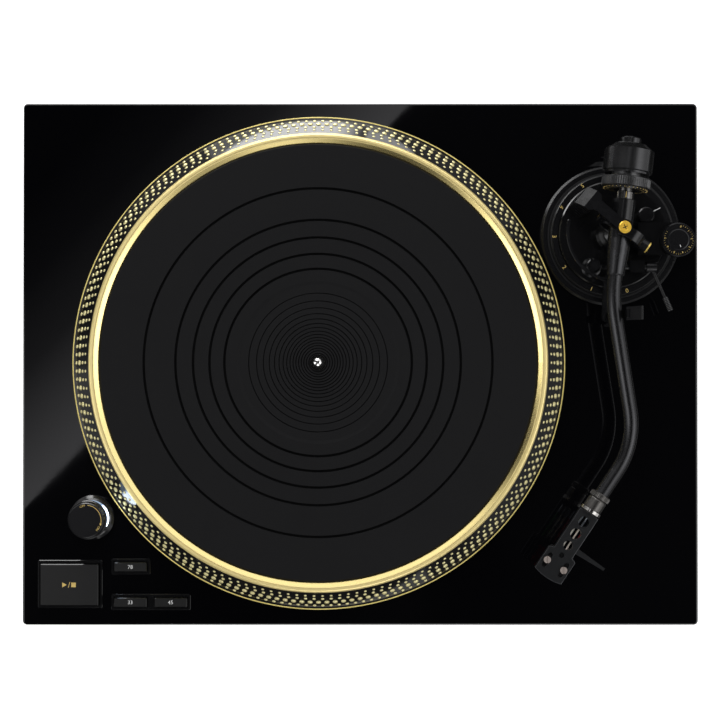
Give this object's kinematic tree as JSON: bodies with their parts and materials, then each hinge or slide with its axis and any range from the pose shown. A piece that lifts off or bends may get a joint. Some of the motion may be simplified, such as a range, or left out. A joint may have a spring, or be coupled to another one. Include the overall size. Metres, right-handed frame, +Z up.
{
  "type": "turntable record player",
  "caption": "Direct-drive record turntable with strobe-dotted platter, S-shaped tonearm on a gimbal base, strobe tower, start and speed buttons.",
  "frame": {"origin": "on the surface that the feet stand on, under the middle of the plinth", "axes": "+X to the right along the long side, +Y to the back, +Z up"},
  "size_m": [0.458, 0.354, 0.15],
  "materials": {
    "gloss_black": "polished black lacquer",
    "base_black": "matte black",
    "cover_black": "powder coat",
    "screw_steel": "zinc",
    "terminal_black": "matte",
    "terminal_gold": "gold plate",
    "inlet_black": "matte",
    "board_green": "solder resist",
    "transformer_steel": "laminated steel",
    "coil_copper": "enamelled wire",
    "bearing_steel": "turned",
    "platter_black": "satin black, gold inner band",
    "mat_rubber": "moulded rubber",
    "spindle_chrome": "polished",
    "magnet_dark": "sintered",
    "key_black": "satin",
    "bezel_black": "gloss",
    "tower_black": "gloss",
    "strobe_lens": "clear",
    "lamp": "moulded",
    "arm_black": "satin black",
    "tube_black": "satin black anodised",
    "pivot_gold": "gold",
    "index_chrome": "bright chrome plated",
    "weight_black": "satin black",
    "dial_black": "knurled satin black",
    "head_black": "satin black anodised",
    "cartridge_black": "black anodised body",
    "stylus_red": "translucent",
    "leads": "coloured sleeves",
    "foot_black": "moulded"
  },
  "bodies": {
    "root": {"top_cabinet": "gloss_black", "heavy_base": "base_black", "bottom_cover": "cover_black", "cover_screws": "screw_steel", "terminal_panel": "terminal_black", "phono_jacks": "terminal_gold", "mains_inlet": "inlet_black", "circuit_board": "board_green", "transformer": "transformer_steel", "stator_board": "board_green", "stator_coils": "coil_copper", "motor_bearing": "bearing_steel", "start_bezel": "bezel_black", "speed_bezel": "bezel_black", "speed_78_bezel": "bezel_black", "control_board": "board_green", "strobe_housing": "tower_black", "strobe_lens": "strobe_lens", "strobe_lamp": "lamp", "arm_base_ring": "arm_black"},
    "platter_assembly": {"platter": "platter_black", "platter_mat": "mat_rubber", "spindle": "spindle_chrome", "rotor_magnet": "magnet_dark"},
    "start_key": {"start_button": "key_black"},
    "speed_33_key": {"speed_33_button": "key_black"},
    "speed_45_key": {"speed_45_button": "key_black"},
    "speed_78_key": {"speed_78_button": "key_black"},
    "power_switch": {"power_knob": "tower_black"},
    "height_ring_body": {"height_ring": "arm_black"},
    "arm_base": {"arm_platform": "arm_black", "gimbal_yoke": "arm_black", "pivot_cap": "pivot_gold", "arm_rest": "key_black", "antiskate_housing": "arm_black", "lift_cylinder": "arm_black"},
    "latch": {"rest_latch": "key_black"},
    "lock_lever": {"height_lock": "arm_black"},
    "antiskate": {"antiskate_dial": "arm_black"},
    "cue": {"cue_lever": "screw_steel"},
    "lift": {"lift_rail": "arm_black"},
    "gimbal": {"gimbal_frame": "arm_black", "gimbal_pins": "pivot_gold"},
    "tonearm": {"arm_tube": "tube_black", "rear_stub": "index_chrome", "headshell": "head_black", "cartridge": "cartridge_black", "stylus": "stylus_red", "headshell_screws": "screw_steel", "finger_lift": "head_black", "cartridge_leads": "leads"},
    "collar": {"headshell_collar": "dial_black"},
    "weight_sleeve": {"counterweight_sleeve": "dial_black"},
    "weight": {"counterweight": "weight_black"},
    "dial": {"force_dial": "dial_black"},
    "foot_fl": {"foot_front_left": "foot_black"},
    "foot_fr": {"foot_front_right": "foot_black"},
    "foot_rl": {"foot_rear_left": "foot_black"},
    "foot_rr": {"foot_rear_right": "foot_black"},
    "ground_screw": {"ground_terminal": "terminal_gold"}
  },
  "joints": [
    {"name": "platter_spin", "type": "hinge", "parent": "root", "child": "platter_assembly", "pos_m": [-0.028, 0.0005, 0.113], "axis": [0, 0, -1], "continuous": true},
    {"name": "start_press", "type": "slide", "parent": "root", "child": "start_key", "axis": [0, 0, -1], "range_m": [0, 0.0015], "stiffness_N_per_m": 400, "springref_m": -0.001},
    {"name": "speed_33_press", "type": "slide", "parent": "root", "child": "speed_33_key", "axis": [0, 0, -1], "range_m": [0, 0.0015], "stiffness_N_per_m": 400, "springref_m": -0.001},
    {"name": "speed_45_press", "type": "slide", "parent": "root", "child": "speed_45_key", "axis": [0, 0, -1], "range_m": [0, 0.0015], "stiffness_N_per_m": 400, "springref_m": -0.001},
    {"name": "speed_78_press", "type": "slide", "parent": "root", "child": "speed_78_key", "axis": [0, 0, -1], "range_m": [0, 0.0015], "stiffness_N_per_m": 400, "springref_m": -0.001},
    {"name": "power_turn", "type": "hinge", "parent": "root", "child": "power_switch", "pos_m": [-0.1815, -0.104, 0.107], "axis": [0, 0, -1], "range_deg": [0, 45]},
    {"name": "arm_height", "type": "slide", "parent": "root", "child": "arm_base", "axis": [0, 0, 1], "range_m": [0, 0.006]},
    {"name": "height_ring_turn", "type": "hinge", "parent": "root", "child": "height_ring_body", "pos_m": [0.1693, 0.0865, 0.09], "axis": [0, 0, 1], "range_deg": [0, 101]},
    {"name": "latch_close", "type": "hinge", "parent": "arm_base", "child": "latch", "pos_m": [0.1729, 0.0317, 0.1385], "axis": [0, -1, 0], "range_deg": [0, 125]},
    {"name": "height_lock_turn", "type": "hinge", "parent": "arm_base", "child": "lock_lever", "pos_m": [0.1907, 0.099, 0.11], "axis": [0, 0, 1], "range_deg": [0, 70]},
    {"name": "antiskate_turn", "type": "hinge", "parent": "arm_base", "child": "antiskate", "pos_m": [0.2088, 0.0809, 0.12], "axis": [0, 0, -1], "range_deg": [0, 300]},
    {"name": "cue_lever_raise", "type": "hinge", "parent": "arm_base", "child": "cue", "pos_m": [0.1693, 0.0642, 0.11], "axis": [-1, 0, 0], "range_deg": [0, 35]},
    {"name": "lift_rise", "type": "slide", "parent": "arm_base", "child": "lift", "axis": [0, 0, 1], "range_m": [0, 0.0027]},
    {"name": "arm_swing", "type": "hinge", "parent": "arm_base", "child": "gimbal", "pos_m": [0.1693, 0.0865, 0.1325], "axis": [0, 0, -1], "range_deg": [0, 44]},
    {"name": "arm_tilt", "type": "hinge", "parent": "gimbal", "child": "tonearm", "pos_m": [0.1693, 0.0865, 0.1325], "axis": [-0.8329, 0.5534, 0], "range_deg": [0, 10]},
    {"name": "collar_turn", "type": "hinge", "parent": "tonearm", "child": "collar", "pos_m": [0.14844, -0.0978, 0.1325], "axis": [-0.5534, -0.8329, 0], "range_deg": [0, 60]},
    {"name": "weight_travel", "type": "slide", "parent": "tonearm", "child": "weight_sleeve", "axis": [0.117, 0.9931, 0], "range_m": [0, 0.006]},
    {"name": "weight_turn", "type": "hinge", "parent": "weight_sleeve", "child": "weight", "pos_m": [0.1693, 0.0865, 0.1325], "axis": [0.117, 0.9931, 0], "range_deg": [0, 350]},
    {"name": "force_dial_turn", "type": "hinge", "parent": "weight", "child": "dial", "pos_m": [0.1693, 0.0865, 0.1325], "axis": [0.117, 0.9931, 0], "continuous": true},
    {"name": "foot_fl_adjust", "type": "slide", "parent": "root", "child": "foot_fl", "axis": [0, 0, -1], "range_m": [0, 0.006]},
    {"name": "foot_fr_adjust", "type": "slide", "parent": "root", "child": "foot_fr", "axis": [0, 0, -1], "range_m": [0, 0.006]},
    {"name": "foot_rl_adjust", "type": "slide", "parent": "root", "child": "foot_rl", "axis": [0, 0, -1], "range_m": [0, 0.006]},
    {"name": "foot_rr_adjust", "type": "slide", "parent": "root", "child": "foot_rr", "axis": [0, 0, -1], "range_m": [0, 0.006]},
    {"name": "ground_screw_turn", "type": "hinge", "parent": "root", "child": "ground_screw", "pos_m": [-0.05, 0.163, 0.066], "axis": [0, 1, 0], "range_deg": [0, 300]}
  ],
  "couplings": [
    {"joint": "height_ring_turn", "follows": "arm_height", "rad_per_m": 290.89},
    {"joint": "cue_lever_raise", "follows": "lift_rise", "rad_per_m": 226.23},
    {"joint": "weight_turn", "follows": "weight_travel", "rad_per_m": 1000}
  ]
}
